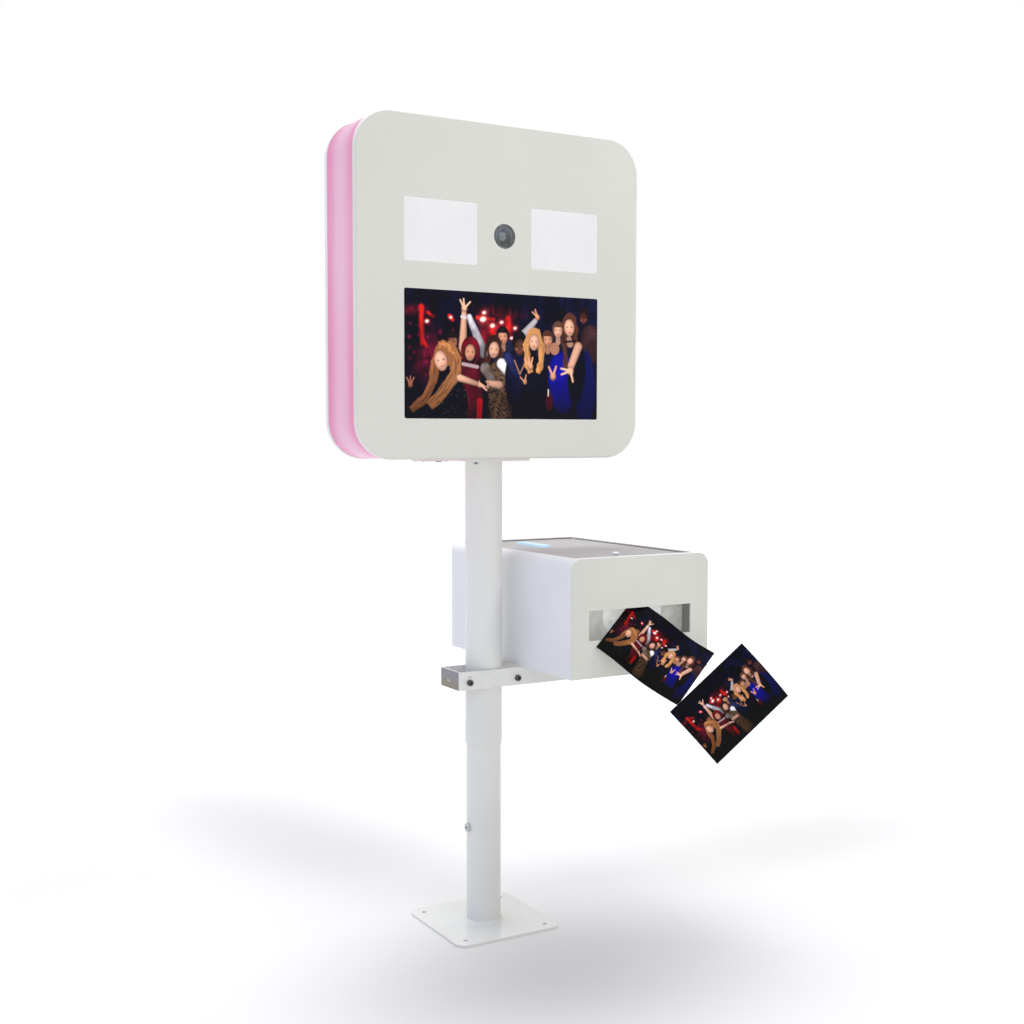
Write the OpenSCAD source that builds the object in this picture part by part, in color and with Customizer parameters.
// Photo booth on a telescopic mast: a square floor plate, a rounded-square head with a touch
// screen, two light panels, a camera window and a glowing side band, and a printer box that is
// clamped to the mast beside it. The front faces -Y, and the origin is on the floor below the mast.

/* [Base] */
// Side of the square floor plate
base_side = 250; // [220:5:320]
// Thickness of the floor plate
base_t = 6; // [4:1:12]
// Corner radius of the floor plate
base_corner_r = 25; // [10:1:40]
// Spacing of the four floor bolt holes
base_hole_pitch = 195; // [140:5:200]
// Diameter of the floor bolt holes
base_hole_d = 10; // [8:1:14]

/* [Mast] */
// Outer diameter of the lower tube
lower_tube_d = 75; // [60:1:90]
// Wall of the lower tube
lower_tube_wall = 3; // [2:0.5:5]
// Thickness of the glide bush between the two tubes
glide_t = 0.5; // [0.3:0.1:2]
// Wall of the upper tube
upper_tube_wall = 2; // [1.5:0.5:4]
// Height of the upper tube's lower end
upper_tube_foot = 398; // [360:5:450]
// Length of lower tube inside the upper tube
tube_overlap = 362; // [300:5:400]
// Height of the bolt that stops the upper tube's travel
stop_bolt_z = 214; // [150:1:260]
// Thread diameter of the stop bolt
stop_bolt_d = 10; // [6:1:12]

/* [Head] */
// Height of the head's lower edge
head_bottom = 1018; // [950:2:1150]
// Width of the head
head_w = 674; // [560:2:820]
// Height of the head
head_h = 692; // [575:2:840]
// Corner radius of the head
head_corner_r = 78; // [65:1:95]
// Distance from the mast's axis to the head's front face
head_front = 91; // [85:1:110]
// Thickness of the front panel
front_t = 13; // [10:0.5:16]
// Width of the glowing side band
band_depth = 131; // [120:1:160]
// Depth of the rear tray
rear_t = 16; // [12:1:20]
// Rounding of the panels' outer edges
panel_edge_r = 5; // [2:0.5:6]
// How far the band lies inside the panels' outline
band_inset = 1.5; // [0.5:0.5:3]
// Wall of the glowing side band
band_wall = 3; // [2:0.5:5]
// Air gap between the band and the steel ring inside it
led_gap = 20; // [15:1:25]
// Sheet thickness of the steel ring
ring_wall = 2; // [1.5:0.5:3]
// Sheet thickness of the rear tray and of its door
rear_wall = 3; // [2:0.5:4]

/* [Screen] */
// Width of the touch screen's window
screen_w = 464; // [385:1:555]
// Height of the touch screen's window
screen_h = 261; // [215:1:310]
// Height of the screen's centre above the head's lower edge
screen_rise = 213.5; // [180:0.5:240]
// Thickness of the touch glass
glass_t = 4; // [3:0.5:6]
// How far the panes lie below the front panel's face
pane_recess = 0.3; // [0:0.1:1]

/* [Camera and light] */
// Height of the camera's axis above the head's lower edge
camera_rise = 462; // [400:1:500]
// Diameter of the camera window
camera_window_d = 51; // [42:1:62]
// Diameter of the lens barrel
lens_d = 44; // [36:1:50]
// Width of a light panel
light_w = 167; // [140:1:200]
// Height of a light panel
light_h = 126; // [105:1:150]
// Distance from the camera's axis to a light panel's centre
light_offset = 148; // [120:1:165]

/* [Printer box] */
// Gap between the mast and the printer box
box_gap = 25; // [10:1:60]
// Width of the printer box
box_w = 350; // [340:1:420]
// Length of the printer box
box_l = 541; // [500:1:650]
// Height of the printer box
box_h = 248; // [230:1:300]
// Distance from the mast's axis to the box's front face
box_front_y = 251.6; // [220:1:280]
// Corner radius of the box's long upper edges
box_corner_r = 25; // [10:1:30]
// Corner radius of the box's rear edges
box_rear_r = 22; // [10:1:30]
// Wall of the printer box
box_wall = 2.5; // [2:0.5:4]
// Thickness of the box's front panel
box_front_t = 3; // [2:0.5:4]
// Width of the print slot
slot_w = 260; // [220:1:280]
// Height of the print slot
slot_h = 62; // [50:1:75]
// Height of the print slot's lower edge above the box's floor
slot_rise = 78; // [60:1:95]
// Distance from the box's left wall to the print slot
slot_side = 43; // [30:1:60]
// Width of the rim around the box's lid
lid_rim = 22; // [14:1:30]
// Diameter of the lid's knob
knob_d = 15; // [10:1:25]

/* [Printer mount] */
// Height of the mount's lower edge
mount_z = 525; // [480:1:560]
// Height of the mount's side arms
arm_h = 39; // [30:1:60]
// Sheet thickness of the mount
arm_t = 5; // [3:0.5:6]
// Running clearance between the arms and the mast
arm_gap = 0.05; // [0.02:0.01:0.1]
// Distance from the mast's axis to the mount's end plate
arm_end = 84; // [76:1:95]
// Distance from the mast's axis to each clamp bolt
clamp_bolt_x = 59; // [52:1:62]
// Thread diameter of the clamp bolts
clamp_bolt_d = 10; // [8:1:10]
// Thickness of the shelf plate under the box
shelf_t = 3; // [2:0.5:5]

/* [Printer] */
// Width of the photo printer
printer_w = 275; // [230:1:300]
// Length of the photo printer
printer_l = 366; // [305:1:400]
// Height of the photo printer
printer_h = 170; // [140:1:185]
// Long side of a print
print_l = 203.2; // [178:0.1:230]
// Short side of a print
print_w = 152.4; // [127:0.1:160]
// Thickness of a print
print_t = 0.3; // [0.2:0.05:0.6]

/* [Hidden] */
$fn = 96;

run_gap = 0.05;      // radial clearance of a shaft that turns in a hole
seat_gap = 0.3;      // clearance between pieces on different bodies
fit_gap = 0.2;       // clearance of a pane or plate in its opening
layer = 0.02;        // thickness of the thin slices that a rounded edge is hulled from

// Mast
lower_r = lower_tube_d / 2;
upper_ir = lower_r + glide_t;
upper_r = upper_ir + upper_tube_wall;
lower_tube_top = upper_tube_foot + tube_overlap;
glide_l = 80;

// Head
front_y = -head_front;
band_y0 = front_y + front_t;
band_y1 = band_y0 + band_depth;
rear_y = band_y1 + rear_t;
head_mid = head_bottom + head_h / 2;
band_w = head_w - 2 * band_inset;
band_h = head_h - 2 * band_inset;
band_r = head_corner_r - band_inset;
ring_inset = band_wall + led_gap;
ring_w = band_w - 2 * ring_inset;
ring_h = band_h - 2 * ring_inset;
ring_r = band_r - ring_inset;
pane_y = front_y + pane_recess;
pane_corner_r = 4;

// Flange and spigot that carry the head
flange_t = 7;
flange_w = 153;
flange_y0 = band_y0 + 4;
flange_y1 = band_y1 - 4;
flange_top = head_bottom + band_inset;
flange_bottom = flange_top - flange_t;
spigot_r = upper_ir - run_gap;
spigot_wall = 4;
spigot_l = 62;
stop_slot_l = 14;
stop_slot_h = 4.6;
stop_slot_turn = 217;
stop_slot_z = flange_bottom - 5;
stop_pin_r = 2;
flange_bolt_r = 5;
flange_bolt_x = 55;
flange_bolt_y = 40;
flange_mid_y = (flange_y0 + flange_y1) / 2;

// Screen, camera and light
screen_z = head_bottom + screen_rise;
camera_z = head_bottom + camera_rise;
display_rim = 18;
display_t = 22;
light_board_t = 6;
light_pane_t = 3;
camera_pane_t = 3;
camera_plate_t = 3;
camera_plate_w = 110;
camera_plate_h = 84;
camera_w = 90;
camera_h = 62;
camera_l = 58;

// Equipment behind the screen
plate_t = 2;
plate_y = -4;
computer_size = [200, 42, 190];
supply_size = [100, 38, 190];

// Rear door, its hinge and its lock
door_w = head_w * 0.63;
door_h = head_h * 0.72;
door_gap = 1;
door_r = 12;
hinge_r = 4;
hinge_pin_r = 2;
hinge_leaf_t = 2;
hinge_leaf_w = 24;
hinge_l = 60;
hinge_x = door_w / 2 + door_gap / 2;
hinge_y = rear_y + hinge_r;
hinge_spread = door_h * 0.33;
lock_x = -door_w / 2 + 18;
lock_r = 9.5;
lock_reach = 1;
cam_l = 30;
cam_t = 3;

// Power inlet under the head
inlet_x = -137.5;
inlet_w = 63;
inlet_l = 50;
inlet_t = 6.5;
inlet_y = -18;
inlet_bottom = flange_top - inlet_t;
socket_x = inlet_x - 14;
switch_x = inlet_x + 19;
rocker_r = 8;
rocker_axis_z = inlet_bottom + 6;

// Printer mount
arm_in = upper_r + arm_gap;
arm_out = arm_in + arm_t;
arm_far = upper_r + box_gap + box_w - 60;
mount_top = mount_z + arm_h;
clamp_z = mount_z + 16;
clamp_head_r = 6.5;
clamp_head_t = 6;
clamp_nut_t = 8;

// Printer box
box_x0 = upper_r + box_gap;
box_x1 = box_x0 + box_w;
box_y0 = -box_front_y;
box_y1 = box_y0 + box_l;
box_z0 = mount_top + shelf_t;
box_z1 = box_z0 + box_h;
box_mid_x = (box_x0 + box_x1) / 2;
shell_y0 = box_y0 + box_front_t;
front_lip = 14;
slot_x0 = box_x0 + slot_side;
slot_z0 = box_z0 + slot_rise;
shelf_w = 300;
shelf_l = 200;
box_bolt_r = 4;
box_bolt_x = shelf_w / 2 - 25;
box_bolt_y = shelf_l / 2 - 18;

// Lid
lid_x0 = box_x0 + lid_rim;
lid_x1 = box_x1 - lid_rim;
lid_y0 = box_y0 + lid_rim;
lid_y1 = box_y1 - lid_rim - 8;
lid_t = 3;
lid_gap = 1.2;
lid_sink = 4;
lid_top = box_z1 - lid_sink;
lid_skirt = 10;
rod_r = 2.5;
rod_y = lid_y1 - 9;
rod_z = lid_top - lid_t - 6;
barrel_r = 5.5;
lug_t = 6;
window_w = 26;
window_l = 118;
window_rise = 5;
knob_shift = 34;
window_x = lid_x0 + 112;
window_y = box_y0 + 372;

// Printer
feet_h = 8;
feet_r = 15;
printer_wall = 14;
printer_y0 = box_y0 + 40;
printer_z0 = box_z0 + box_wall + feet_h;
cover_t = 6;
cover_r = 50;

// Prints: each is a flat card, placed by its centre, its turn, its lean and its roll
print_first_at = [box_x0 + 175.7, box_y0 - 49.7, slot_z0 - 21.9];
print_first_turn = [18, 34.2, -42];
print_second_at = [box_x0 + 280, box_y0 - 161.9, slot_z0 - 125];
print_second_turn = [20, -1.6, -137.6];

// ---- shapes that several parts share ----

// Centred rectangle with round corners, made of true arcs
module rounded_rect(w, h, r) {
    square([w, h - 2 * r], center = true);
    square([w - 2 * r, h], center = true);
    for (x = [-1, 1], y = [-1, 1])
        translate([x * (w / 2 - r), y * (h / 2 - r)])
            circle(r);
}

// Rectangle from one corner to the other with only its upper corners round
module arched_rect(x0, z0, x1, z1, r) {
    translate([x0, z0])
        square([x1 - x0, z1 - z0 - r]);
    translate([x0 + r, z0])
        square([x1 - x0 - 2 * r, z1 - z0]);
    for (x = [x0 + r, x1 - r])
        translate([x, z1 - r])
            circle(r);
}

// Stands an outline in X and Z up, and gives it a thickness from y0 to y1
module upright(y0, y1) {
    translate([0, y1, 0])
        rotate([90, 0, 0])
            linear_extrude(y1 - y0)
                children();
}

// The head's outline at a given inset
module head_outline(inset) {
    translate([0, head_mid])
        rounded_rect(head_w - 2 * inset, head_h - 2 * inset, head_corner_r - inset);
}

// Head-shaped slab from y0 to y1 with a rounded edge on the side that faces away from the band
module head_slab(y0, y1, front) {
    outer_y = front ? y0 : y1;
    inward = front ? 1 : -1;
    hull() {
        upright(front ? y0 + panel_edge_r : y0, front ? y1 : y1 - panel_edge_r)
            head_outline(0);
        for (a = [0, 22.5, 45, 67.5]) {
            slice_y = outer_y + inward * panel_edge_r * (1 - cos(a));
            upright(min(slice_y, slice_y + inward * layer), max(slice_y, slice_y + inward * layer))
                head_outline(panel_edge_r * (1 - sin(a)));
        }
    }
}

// Ring between two insets of the head's outline
module head_ring(outer_inset, inner_inset, y0, y1) {
    upright(y0, y1)
        difference() {
            head_outline(outer_inset);
            head_outline(inner_inset);
        }
}

// Upright pane or opening with round corners, centred at x and z
module pane(x, z, w, h, y0, y1, r = pane_corner_r) {
    upright(y0, y1)
        translate([x, z])
            rounded_rect(w, h, r);
}

// Cylinder along Y from y0 to y1
module along_y(x, z, r, y0, y1) {
    translate([x, y0, z])
        rotate([-90, 0, 0])
            cylinder(h = y1 - y0, r = r);
}

// Cylinder along X from x0 to x1
module along_x(y, z, r, x0, x1) {
    translate([x0, y, z])
        rotate([0, 90, 0])
            cylinder(h = x1 - x0, r = r);
}

// Puts a child at the four corners of a rectangle
module four(dx, dy) {
    for (x = [-dx, dx], y = [-dy, dy])
        translate([x, y, 0])
            children();
}

// Block from one corner to the other
module block(low, high) {
    translate(low)
        cube(high - low);
}

// ---- stand ----

module base_plate() {
    color("whitesmoke")
        difference() {
            linear_extrude(base_t)
                rounded_rect(base_side, base_side, base_corner_r);
            four(base_hole_pitch / 2, base_hole_pitch / 2)
                translate([0, 0, -1])
                    cylinder(h = base_t + 2, r = base_hole_d / 2);
        }
}

module lower_tube() {
    color("white")
        difference() {
            translate([0, 0, base_t])
                cylinder(h = lower_tube_top - base_t, r = lower_r);
            translate([0, 0, base_t - 1])
                cylinder(h = lower_tube_top - base_t + 2, r = lower_r - lower_tube_wall);
            along_x(0, stop_bolt_z, stop_bolt_d / 2, -lower_r - 1, -lower_r + lower_tube_wall + 2);
        }
}

module travel_stop_bolt() {
    head_r = 9;
    head_t = 5.5;
    socket_r = 3.5;
    color("dimgray")
        difference() {
            union() {
                along_x(0, stop_bolt_z, stop_bolt_d / 2, -lower_r - 1, -lower_r + lower_tube_wall + 9);
                difference() {
                    along_x(0, stop_bolt_z, head_r, -lower_r - head_t, -lower_r + 2);
                    cylinder(h = stop_bolt_z + 3 * head_r, r = lower_r);
                }
            }
            translate([-lower_r - head_t - 1, 0, stop_bolt_z])
                rotate([0, 90, 0])
                    cylinder(h = 4, r = socket_r, $fn = 6);
        }
}

// ---- mast ----

module upper_tube() {
    tube_top = flange_bottom - seat_gap;
    color("white")
        difference() {
            translate([0, 0, upper_tube_foot])
                cylinder(h = tube_top - upper_tube_foot, r = upper_r);
            translate([0, 0, upper_tube_foot - 1])
                cylinder(h = tube_top - upper_tube_foot + 2, r = upper_ir);
            rotate([0, 0, stop_slot_turn])
                translate([0, 0, stop_slot_z])
                    rotate([0, 90, 0]) {
                        translate([0, 0, upper_ir + upper_tube_wall / 2])
                            cube([stop_slot_h, stop_slot_l - stop_slot_h, 3 * upper_tube_wall], center = true);
                        for (side = [-1, 1])
                            translate([0, side * (stop_slot_l - stop_slot_h) / 2, upper_ir - 3])
                                cylinder(h = upper_tube_wall + 6, r = stop_slot_h / 2);
                    }
        }
}

module glide_bush() {
    color("gray")
        translate([0, 0, upper_tube_foot + 4])
            difference() {
                cylinder(h = glide_l, r = upper_ir);
                translate([0, 0, -1])
                    cylinder(h = glide_l + 2, r = lower_r + run_gap);
            }
}

// ---- head: what carries it ----

module flange_drills(z0, z1) {
    for (x = [-flange_bolt_x, flange_bolt_x], y = [-flange_bolt_y, flange_bolt_y])
        translate([x, flange_mid_y + y, z0])
            cylinder(h = z1 - z0, r = flange_bolt_r);
}

module head_flange() {
    flange_r = 12;
    color("whitesmoke")
        difference() {
            translate([0, flange_mid_y, flange_bottom])
                linear_extrude(flange_t)
                    rounded_rect(flange_w, flange_y1 - flange_y0, flange_r);
            flange_drills(flange_bottom - 1, flange_top + 1);
        }
}

module head_spigot() {
    color("silver")
        difference() {
            translate([0, 0, flange_bottom - spigot_l])
                cylinder(h = spigot_l, r = spigot_r);
            translate([0, 0, flange_bottom - spigot_l - 1])
                cylinder(h = spigot_l + 2, r = spigot_r - spigot_wall);
            rotate([0, 0, stop_slot_turn])
                along_x(0, stop_slot_z, stop_pin_r, spigot_r - spigot_wall - 2, spigot_r + 2);
        }
}

module swivel_pin() {
    color("black")
        rotate([0, 0, stop_slot_turn])
            along_x(0, stop_slot_z, stop_pin_r, spigot_r - spigot_wall, upper_r - 0.5);
}

// Steel block between the band and the ring, which takes the head's weight to the flange
module socket_block() {
    color("dimgray")
        difference() {
            block([-flange_w / 2, flange_y0, flange_top + band_wall],
                  [flange_w / 2, flange_y1, flange_top + ring_inset]);
            flange_drills(flange_top, flange_top + ring_inset + 1);
        }
}

module flange_bolts() {
    head_t = 7;
    ring_top = flange_top + ring_inset + ring_wall;
    color("silver") {
        flange_drills(flange_bottom, ring_top);
        for (x = [-flange_bolt_x, flange_bolt_x], y = [-flange_bolt_y, flange_bolt_y])
            translate([x, flange_mid_y + y, ring_top])
                cylinder(h = head_t, r = flange_bolt_r * 1.7, $fn = 6);
    }
}

// ---- head: shell ----

module front_panel() {
    color("gainsboro")
        difference() {
            head_slab(front_y, band_y0, true);
            pane(0, screen_z, screen_w, screen_h, front_y - 1, band_y0 + 1);
            for (side = [-1, 1])
                pane(side * light_offset, camera_z, light_w, light_h, front_y - 1, band_y0 + 1);
            along_y(0, camera_z, camera_window_d / 2, front_y - 1, band_y0 + 1);
        }
}

module led_band() {
    color("orchid")
        difference() {
            head_ring(band_inset, band_inset + band_wall, band_y0, band_y1);
            flange_drills(flange_top - 1, flange_top + band_wall + 1);
            power_passage(flange_top - 1, flange_top + band_wall + 1);
        }
}

// Clear way for the socket and switch bodies that rise into the head
module power_passage(z0, z1) {
    block([socket_x - 16, inlet_y - 12, z0], [socket_x + 16, inlet_y + 12, z1]);
    block([switch_x - 8, inlet_y - 12, z0], [switch_x + 8, inlet_y + 12, z1]);
}

module led_strip() {
    strip_t = 1.5;
    strip_w = 20;
    strip_y = (band_y0 + band_y1) / 2;
    color("ivory")
        difference() {
            head_ring(band_inset + ring_inset - strip_t, band_inset + ring_inset,
                      strip_y - strip_w / 2, strip_y + strip_w / 2);
            block([inlet_x - inlet_w / 2 - 5, flange_y0 - 1, flange_top],
                  [flange_w / 2 + 1, flange_y1 + 1, flange_top + ring_inset + 1]);
        }
}

module steel_ring() {
    color("lightgray")
        difference() {
            head_ring(band_inset + ring_inset, band_inset + ring_inset + ring_wall, band_y0, band_y1);
            flange_drills(flange_top, flange_top + ring_inset + ring_wall + 1);
            power_passage(flange_top, flange_top + ring_inset + ring_wall + 1);
        }
}

module rear_tray() {
    color("whitesmoke")
        difference() {
            head_slab(band_y1, rear_y, false);
            upright(band_y1 - 1, rear_y - rear_wall)
                head_outline(panel_edge_r + 1);
            pane(0, head_mid, door_w, door_h, rear_y - 2 * rear_wall, rear_y + 1, door_r);
        }
}

// Plate across the ring that carries the computer and the power supply
module equipment_plate() {
    color("silver")
        upright(plate_y, plate_y + plate_t)
            difference() {
                head_outline(band_inset + ring_inset + ring_wall);
                translate([0, head_mid + head_h / 2 - 110])
                    rounded_rect(120, 60, 10);
            }
}

// ---- head: screen, light and camera ----

module display_module() {
    color("#181c24") {
        pane(0, screen_z, screen_w + 2 * display_rim, screen_h + 2 * display_rim,
             band_y0, band_y0 + display_t);
        pane(0, screen_z, screen_w - 2, screen_h - 2, pane_y + glass_t, band_y0 + 1);
    }
}

module touch_glass() {
    color("#0b0e1c")
        pane(0, screen_z, screen_w - 2 * fit_gap, screen_h - 2 * fit_gap, pane_y, pane_y + glass_t);
}

module light_pane(side) {
    color("white")
        pane(side * light_offset, camera_z, light_w - 2 * fit_gap, light_h - 2 * fit_gap,
             pane_y, pane_y + light_pane_t);
}

module light_pane_left() light_pane(-1);

module light_pane_right() light_pane(1);

// Light board: a tray on the panel's rear, with a collar that carries the pane's edge
module light_board(side) {
    collar_t = 3;
    color("ivory")
        difference() {
            union() {
                pane(side * light_offset, camera_z, light_w + 8, light_h + 8,
                     band_y0, band_y0 + light_board_t);
                pane(side * light_offset, camera_z, light_w - 1, light_h - 1,
                     pane_y + light_pane_t, band_y0 + 1);
            }
            pane(side * light_offset, camera_z, light_w - 1 - 2 * collar_t, light_h - 1 - 2 * collar_t,
                 pane_y, band_y0 + light_board_t - 2);
        }
}

module light_board_left() light_board(-1);

module light_board_right() light_board(1);

module camera_window() {
    color("#20242c")
        along_y(0, camera_z, camera_window_d / 2 - fit_gap, pane_y, pane_y + camera_pane_t);
}

module lens_barrel() {
    bore_r = lens_d / 2 - 6;
    color("black")
        difference() {
            along_y(0, camera_z, lens_d / 2, pane_y + camera_pane_t + 0.5, band_y0 + camera_plate_t);
            along_y(0, camera_z, bore_r, pane_y, band_y0);
        }
}

module camera_plate() {
    color("dimgray")
        difference() {
            pane(0, camera_z, camera_plate_w, camera_plate_h, band_y0, band_y0 + camera_plate_t);
            along_y(0, camera_z, lens_d / 2, band_y0 - 1, band_y0 + camera_plate_t + 1);
        }
}

module camera_body() {
    color("#222222")
        pane(0, camera_z, camera_w, camera_h, band_y0 + camera_plate_t,
             band_y0 + camera_plate_t + camera_l, 6);
}

// ---- head: equipment ----

module computer() {
    color("#33363a")
        translate([-door_w / 2 + 30, plate_y + plate_t, head_mid - 200])
            cube(computer_size);
}

module power_supply() {
    color("silver")
        translate([door_w / 2 - 30 - supply_size[0], plate_y + plate_t, head_mid - 200])
            cube(supply_size);
}

module inlet_plate() {
    color("whitesmoke")
        difference() {
            block([inlet_x - inlet_w / 2, inlet_y - inlet_l / 2, inlet_bottom],
                  [inlet_x + inlet_w / 2, inlet_y + inlet_l / 2, flange_top]);
            power_passage(inlet_bottom - 1, flange_top + 1);
        }
}

// Mains inlet with three blades in a recess that opens downwards
module power_inlet() {
    body_h = 26;
    recess_h = 17;
    color("#141414") {
        difference() {
            block([socket_x - 16 + fit_gap, inlet_y - 12 + fit_gap, inlet_bottom],
                  [socket_x + 16 - fit_gap, inlet_y + 12 - fit_gap, inlet_bottom + body_h]);
            block([socket_x - 12.5, inlet_y - 8.5, inlet_bottom - 1],
                  [socket_x + 12.5, inlet_y + 8.5, inlet_bottom + recess_h]);
        }
        for (blade = [[-7, -1.5], [0, 2.5], [7, -1.5]])
            translate([socket_x + blade[0], inlet_y + blade[1], inlet_bottom + 3 + recess_h / 2])
                cube([2, 4, recess_h - 5], center = true);
    }
}

module switch_body() {
    body_h = 20;
    color("#1c1c1c") {
        difference() {
            block([switch_x - 8 + fit_gap, inlet_y - 12 + fit_gap, inlet_bottom],
                  [switch_x + 8 - fit_gap, inlet_y + 12 - fit_gap, inlet_bottom + body_h]);
            block([switch_x - 6, inlet_y - 10, inlet_bottom - 1],
                  [switch_x + 6, inlet_y + 10, inlet_bottom + body_h - 3]);
        }
        along_x(inlet_y, rocker_axis_z, 1.5, switch_x - 6, switch_x + 6);
    }
}

module switch_rocker() {
    reach = 7.5;
    color("#101010")
        difference() {
            intersection() {
                along_x(inlet_y, rocker_axis_z, rocker_r, switch_x - 5.7, switch_x + 5.7);
                block([switch_x - 6, inlet_y - reach, rocker_axis_z - rocker_r],
                      [switch_x + 6, inlet_y + reach, rocker_axis_z + 3]);
            }
            along_x(inlet_y, rocker_axis_z, 1.5 + run_gap, switch_x - 7, switch_x + 7);
        }
}

// ---- rear door ----

module rear_door() {
    color("white")
        difference() {
            pane(0, head_mid, door_w - 2 * door_gap, door_h - 2 * door_gap,
                 rear_y - rear_wall, rear_y, door_r - door_gap);
            along_y(lock_x, head_mid, lock_r, rear_y - 2 * rear_wall, rear_y + 1);
        }
}

// One leaf of both hinges: side 1 is the tray's leaf, side -1 is the door's
module door_hinge(side, knuckles) {
    knuckle_l = hinge_l / 3;
    for (z = [head_mid - hinge_spread, head_mid + hinge_spread])
        for (k = knuckles)
            difference() {
                union() {
                    translate([hinge_x, hinge_y, z + k * knuckle_l - knuckle_l / 2 + run_gap])
                        cylinder(h = knuckle_l - 2 * run_gap, r = hinge_r - run_gap);
                    block([min(hinge_x, hinge_x + side * hinge_leaf_w), rear_y,
                           z + k * knuckle_l - knuckle_l / 2 + run_gap],
                          [max(hinge_x, hinge_x + side * hinge_leaf_w), rear_y + hinge_leaf_t,
                           z + k * knuckle_l + knuckle_l / 2 - run_gap]);
                }
                translate([hinge_x, hinge_y, z - hinge_l])
                    cylinder(h = 2 * hinge_l, r = side > 0 ? hinge_pin_r : hinge_pin_r + run_gap);
            }
}

module door_hinge_fixed() {
    color("silver")
        door_hinge(1, [-1, 1]);
}

module door_hinge_moving() {
    color("silver")
        door_hinge(-1, [0]);
}

module door_hinge_pins() {
    color("gray")
        for (z = [head_mid - hinge_spread, head_mid + hinge_spread])
            translate([hinge_x, hinge_y, z - hinge_l / 2])
                cylinder(h = hinge_l, r = hinge_pin_r);
}

module lock_body() {
    key_slot = [2, 3, 9];
    color("silver")
        difference() {
            union() {
                along_y(lock_x, head_mid, lock_r, rear_y - rear_wall - lock_reach, rear_y);
                along_y(lock_x, head_mid, lock_r + 2, rear_y, rear_y + 2);
            }
            translate([lock_x, rear_y + 2, head_mid])
                cube(key_slot, center = true);
        }
}

// Tongue behind the door: it hangs down when open and turns under the tray's edge when locked
module lock_cam() {
    cam_y1 = rear_y - rear_wall - lock_reach - seat_gap;
    color("gray") {
        along_y(lock_x, head_mid, 8, cam_y1 - cam_t, cam_y1);
        block([lock_x - 6, cam_y1 - cam_t, head_mid - cam_l], [lock_x + 6, cam_y1, head_mid]);
    }
}

// ---- printer mount ----

// U-shaped sheet channel that grips the mast between its arms
module mount_channel() {
    bend_r = 8;
    color("whitesmoke")
        difference() {
            translate([0, 0, mount_z])
                linear_extrude(arm_h)
                    difference() {
                        union() {
                            translate([-arm_end + bend_r, -arm_out])
                                square([arm_end + arm_far - bend_r, 2 * arm_out]);
                            translate([-arm_end, -arm_out + bend_r])
                                square([arm_end, 2 * (arm_out - bend_r)]);
                            for (side = [-1, 1])
                                translate([-arm_end + bend_r, side * (arm_out - bend_r)])
                                    circle(bend_r);
                        }
                        translate([-arm_end + arm_t, -arm_in])
                            square([arm_end + arm_far, 2 * arm_in]);
                    }
            for (x = [-clamp_bolt_x, clamp_bolt_x])
                along_y(x, clamp_z, clamp_bolt_d / 2, -arm_out - 1, arm_out + 1);
            mount_slots();
        }
}

// Narrow slot in the end plate and a small one above the left bolt
module mount_slots() {
    end_slot_h = 6;
    translate([-arm_end + arm_t / 2, 4, clamp_z])
        rotate([0, 90, 0]) {
            cube([end_slot_h, 12, 3 * arm_t], center = true);
            for (side = [-1, 1])
                translate([0, side * 6, -arm_t])
                    cylinder(h = 2 * arm_t, r = end_slot_h / 2);
        }
    for (x = [-2.5, 2.5])
        along_y(x - clamp_bolt_x + 1, clamp_z + 12, 1.5, -arm_out - 1, -arm_in + 1);
    block([-clamp_bolt_x - 1.5, -arm_out - 1, clamp_z + 10.5], [-clamp_bolt_x + 3.5, -arm_in + 1, clamp_z + 13.5]);
}

module clamp_bolts() {
    socket_r = 3.6;
    color("#2a2a2a")
        for (x = [-clamp_bolt_x, clamp_bolt_x])
            difference() {
                union() {
                    along_y(x, clamp_z, clamp_bolt_d / 2, -arm_out, arm_out + clamp_nut_t + 3);
                    along_y(x, clamp_z, clamp_head_r, -arm_out - clamp_head_t, -arm_out);
                }
                translate([x, -arm_out - clamp_head_t - 1, clamp_z])
                    rotate([-90, 0, 0])
                        cylinder(h = 5, r = socket_r, $fn = 6);
            }
}

module clamp_nuts() {
    nut_r = 9;
    color("gray")
        for (x = [-clamp_bolt_x, clamp_bolt_x])
            difference() {
                translate([x, arm_out, clamp_z])
                    rotate([-90, 0, 0])
                        cylinder(h = clamp_nut_t, r = nut_r, $fn = 6);
                along_y(x, clamp_z, clamp_bolt_d / 2, arm_out - 1, arm_out + clamp_nut_t + 1);
            }
}

module shelf_plate() {
    color("whitesmoke")
        difference() {
            translate([box_mid_x, 0, mount_top])
                linear_extrude(shelf_t)
                    rounded_rect(shelf_w, shelf_l, 10);
            box_drills(mount_top - 1, box_z0 + 1);
        }
}

module box_drills(z0, z1) {
    translate([box_mid_x, 0, z0])
        four(box_bolt_x, box_bolt_y)
            cylinder(h = z1 - z0, r = box_bolt_r);
}

module box_bolts() {
    color("silver")
        translate([box_mid_x, 0, 0])
            four(box_bolt_x, box_bolt_y) {
                translate([0, 0, mount_top - 2])
                    cylinder(h = shelf_t + 2 + box_wall, r = box_bolt_r);
                translate([0, 0, box_z0 + box_wall])
                    cylinder(h = 4, r = box_bolt_r * 1.8);
                translate([0, 0, mount_top - 5])
                    cylinder(h = 5, r = box_bolt_r * 1.8, $fn = 6);
            }
}

// ---- printer box ----

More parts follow.
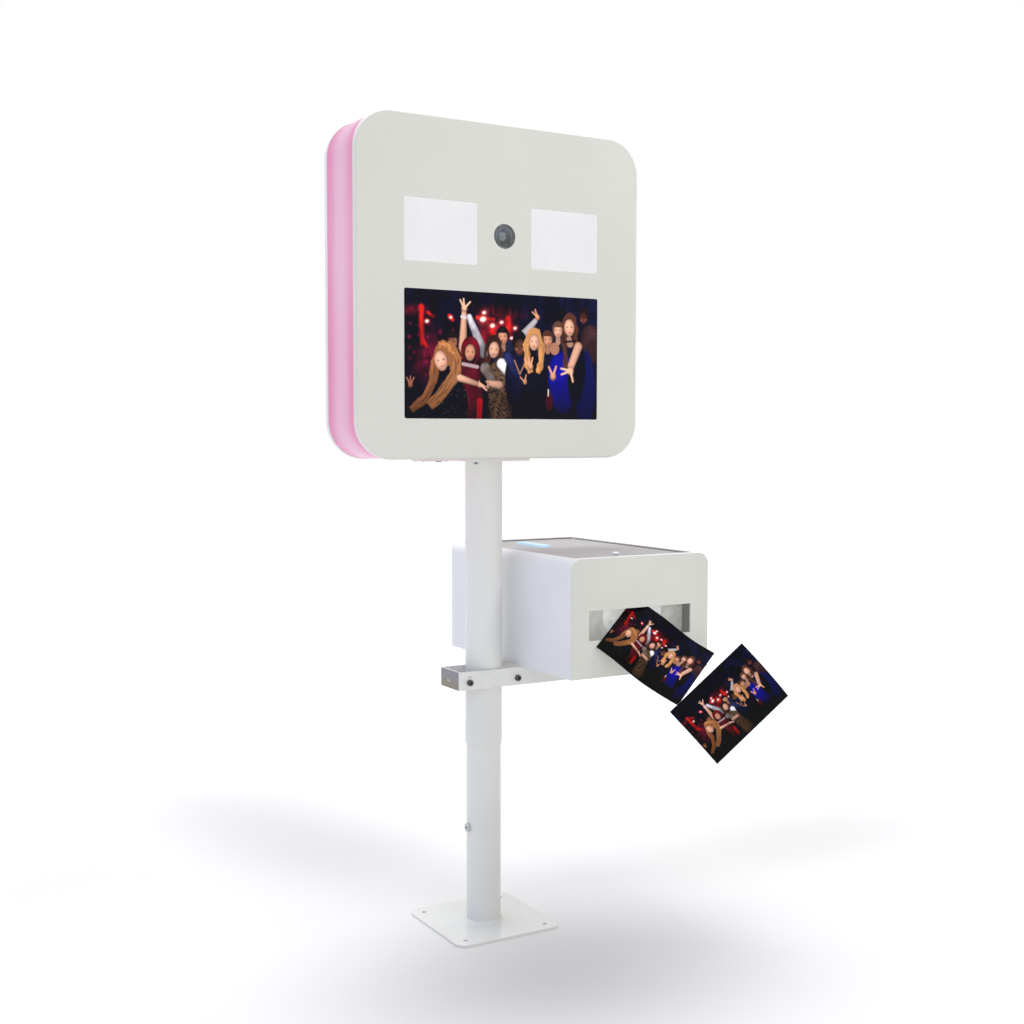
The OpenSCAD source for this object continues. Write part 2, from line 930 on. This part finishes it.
// Outer or inner form of the box: its section along Y, cut round at the rear from two sides
module box_form(inset, y0) {
    x0 = box_x0 + inset;
    x1 = box_x1 - inset;
    y1 = box_y1 - inset;
    z0 = box_z0 + inset;
    z1 = box_z1 - inset;
    rear_r = box_rear_r - inset;
    intersection() {
        upright(y0, y1)
            arched_rect(x0, z0, x1, z1, box_corner_r - inset);
        translate([0, 0, z0 - 1])
            linear_extrude(z1 - z0 + 2)
                arched_rect(x0, y0 - 1, x1, y1, rear_r);
        translate([x0 - 1, 0, 0])
            rotate([90, 0, 90])
                linear_extrude(x1 - x0 + 2) {
                    translate([y0 - 1, z0])
                        square([y1 - rear_r - y0 + 1, z1 - z0]);
                    translate([y0 - 1, z0 + rear_r])
                        square([y1 - y0 + 1, z1 - z0 - 2 * rear_r]);
                    for (z = [z0 + rear_r, z1 - rear_r])
                        translate([y1 - rear_r, z])
                            circle(rear_r);
                }
    }
}

module box_shell() {
    ledge_z = lid_top - lid_t - seat_gap;
    color("aliceblue") {
        difference() {
            box_form(0, shell_y0);
            box_form(box_wall, shell_y0 + box_wall);
            upright(shell_y0 - 1, shell_y0 + box_wall + 1)
                arched_rect(box_x0 + front_lip, box_z0 + front_lip, box_x1 - front_lip,
                            box_z1 - front_lip, box_corner_r - front_lip + 6);
            block([lid_x0, lid_y0, box_z1 - box_wall - 1], [lid_x1, lid_y1, box_z1 + 1]);
            box_drills(box_z0 - 1, box_z0 + box_wall + 1);
            front_screw_drills(shell_y0 - 1, shell_y0 + box_wall + 1);
        }
        // ledge that the lid's front edge rests on
        block([lid_x0 + 40, lid_y0 - 8, ledge_z - 3], [lid_x1 - 40, lid_y0 + 3, ledge_z]);
        block([lid_x0 + 40, lid_y0 - 8, ledge_z - 1], [lid_x1 - 40, lid_y0 - 4, box_z1 - box_wall + 0.5]);
        // lugs that hold the hinge rod
        for (x = [lid_x0 - lug_t, lid_x1])
            difference() {
                block([x, rod_y - 7, rod_z - 7], [x + lug_t, rod_y + 7, box_z1 - box_wall + 0.5]);
                along_x(rod_y, rod_z, rod_r, x - 1, x + lug_t + 1);
            }
    }
}

module front_screw_drills(y0, y1) {
    screw_r = 1.5;
    for (x = [box_x0 + 8.5, box_x1 - 8.5], z = [box_z0 + 40, box_z0 + 180])
        along_y(x, z, screw_r, y0, y1);
}

module box_front() {
    color("gainsboro")
        difference() {
            upright(box_y0, shell_y0)
                arched_rect(box_x0, box_z0, box_x1, box_z1, box_corner_r);
            block([slot_x0, box_y0 - 1, slot_z0], [slot_x0 + slot_w, shell_y0 + 1, slot_z0 + slot_h]);
            front_screw_drills(box_y0 + box_front_t / 2, shell_y0 + 1);
        }
}

// Screws from inside the box, through its lip into the front panel
module box_front_screws() {
    head_r = 3;
    color("gray") {
        front_screw_drills(box_y0 + box_front_t / 2, shell_y0 + box_wall);
        for (x = [box_x0 + 8.5, box_x1 - 8.5], z = [box_z0 + 40, box_z0 + 180])
            along_y(x, z, head_r, shell_y0 + box_wall, shell_y0 + box_wall + 2);
    }
}

// ---- printer ----

module printer_body() {
    x0 = box_mid_x - printer_w / 2;
    color("#3a3d42")
        difference() {
            block([x0, printer_y0, printer_z0],
                  [x0 + printer_w, printer_y0 + printer_l, printer_z0 + printer_h]);
            block([x0 + printer_wall, printer_y0 + printer_wall, printer_z0 - 1],
                  [x0 + printer_w - printer_wall, printer_y0 + printer_l - printer_wall,
                   printer_z0 + printer_h - printer_wall]);
        }
}

module printer_feet() {
    color("#222222")
        translate([box_mid_x, printer_y0 + printer_l / 2, box_z0 + box_wall])
            four(printer_w / 2 - feet_r - 4, printer_l / 2 - feet_r - 4)
                cylinder(h = feet_h, r = feet_r);
}

// Light grey front cover of the printer, seen through the slot, with the prints' exit in it
module printer_cover() {
    cover_w = printer_w - 125;
    cover_h = printer_h - 64;
    cover_z = printer_z0 + printer_h - cover_h / 2 - 2;
    exit_w = cover_w - 30;
    color("lightgray")
        difference() {
            upright(printer_y0 - cover_t, printer_y0)
                translate([box_mid_x, cover_z])
                    rounded_rect(cover_w, cover_h, cover_r);
            block([box_mid_x - exit_w / 2, printer_y0 - cover_t - 1, slot_z0 + 34],
                  [box_mid_x + exit_w / 2, printer_y0 - cover_t + 4, slot_z0 + 42]);
        }
}

// ---- lid ----

module lid_hinge_rod() {
    color("silver")
        along_x(rod_y, rod_z, rod_r, lid_x0 - lug_t, lid_x1 + lug_t);
}

module box_lid() {
    x0 = lid_x0 + lid_gap;
    x1 = lid_x1 - lid_gap;
    y0 = lid_y0 + lid_gap;
    y1 = lid_y1 - lid_gap;
    barrel_gap = 8;
    color("lightgray")
        difference() {
            union() {
                block([x0, y0, lid_top - lid_t], [x1, y1, lid_top]);
                for (x = [x0 + 6, x1 - 6 - lid_t])
                    block([x, y0 + 14, lid_top - lid_skirt], [x + lid_t, rod_y - 20, lid_top - 1]);
                along_x(rod_y, rod_z, barrel_r, x0 + barrel_gap, x1 - barrel_gap);
                block([x0 + barrel_gap, rod_y - 3, rod_z], [x1 - barrel_gap, rod_y + 3, lid_top - 1]);
            }
            along_x(rod_y, rod_z, rod_r + run_gap, lid_x0 - 1, lid_x1 + 1);
            lid_window_form(0);
        }
}

module lid_window_form(gap) {
    translate([window_x, window_y, lid_top - lid_t - (gap > 0 ? 0 : 1)])
        linear_extrude(lid_t + (gap > 0 ? window_rise : 2))
            rounded_rect(window_w - 2 * gap, window_l - 2 * gap, 4);
}

module lid_window() {
    color("lightskyblue")
        lid_window_form(fit_gap);
}

module lid_knob() {
    stem_h = 5;
    cap_h = 5;
    color("white")
        translate([box_mid_x - knob_shift, lid_y0 + 26, lid_top]) {
            cylinder(h = stem_h, r = knob_d / 4);
            translate([0, 0, stem_h])
                cylinder(h = cap_h, r = knob_d / 2);
        }
}

// ---- prints ----

// Flat card with its centre at a point; its face looks along -Y before turn, lean and roll
module photo_print(at, turn) {
    translate(at)
        rotate([0, 0, -turn[0]])
            rotate([-turn[1], 0, 0])
                rotate([0, -turn[2], 0])
                    cube([print_l, print_t, print_w], center = true);
}

module print_first() {
    color("#1a1430")
        photo_print(print_first_at, print_first_turn);
}

module print_second() {
    color("#1a1430")
        photo_print(print_second_at, print_second_turn);
}

base_plate();
lower_tube();
travel_stop_bolt();
upper_tube();
glide_bush();
head_flange();
head_spigot();
swivel_pin();
socket_block();
flange_bolts();
front_panel();
led_band();
led_strip();
steel_ring();
rear_tray();
equipment_plate();
display_module();
touch_glass();
light_pane_left();
light_pane_right();
light_board_left();
light_board_right();
camera_window();
lens_barrel();
camera_body();
camera_plate();
computer();
power_supply();
inlet_plate();
power_inlet();
switch_body();
switch_rocker();
door_hinge_fixed();
door_hinge_pins();
rear_door();
door_hinge_moving();
lock_body();
lock_cam();
mount_channel();
clamp_bolts();
clamp_nuts();
shelf_plate();
box_bolts();
box_shell();
box_front();
box_front_screws();
printer_body();
printer_feet();
printer_cover();
lid_hinge_rod();
box_lid();
lid_window();
lid_knob();
print_first();
print_second();
